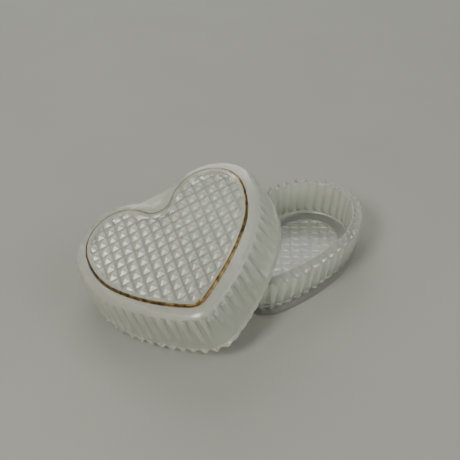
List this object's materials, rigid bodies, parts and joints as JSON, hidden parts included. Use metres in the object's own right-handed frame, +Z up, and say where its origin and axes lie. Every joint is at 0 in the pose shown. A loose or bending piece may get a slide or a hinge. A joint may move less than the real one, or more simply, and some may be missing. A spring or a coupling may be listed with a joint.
{
  "type": "heart trinket box",
  "caption": "Heart-shaped trinket box of frosted pressed glass, ribbed outside, its domed lid taken off and leaning on the rim of the dish.",
  "frame": {"origin": "on the ground, under the middle of the bounding box of dish and lid together", "axes": "+Z up; +Y from the tip of the dish's heart to its notch; the lid leans on the dish from -X, -Y"},
  "size_m": [0.1404, 0.1234, 0.0575],
  "materials": {
    "dish": "satin, frosted by acid",
    "lid": "satin, frosted by acid, with a gilt line"
  },
  "bodies": {
    "root": {"dish": "dish", "lid": "lid"}
  },
  "joints": []
}
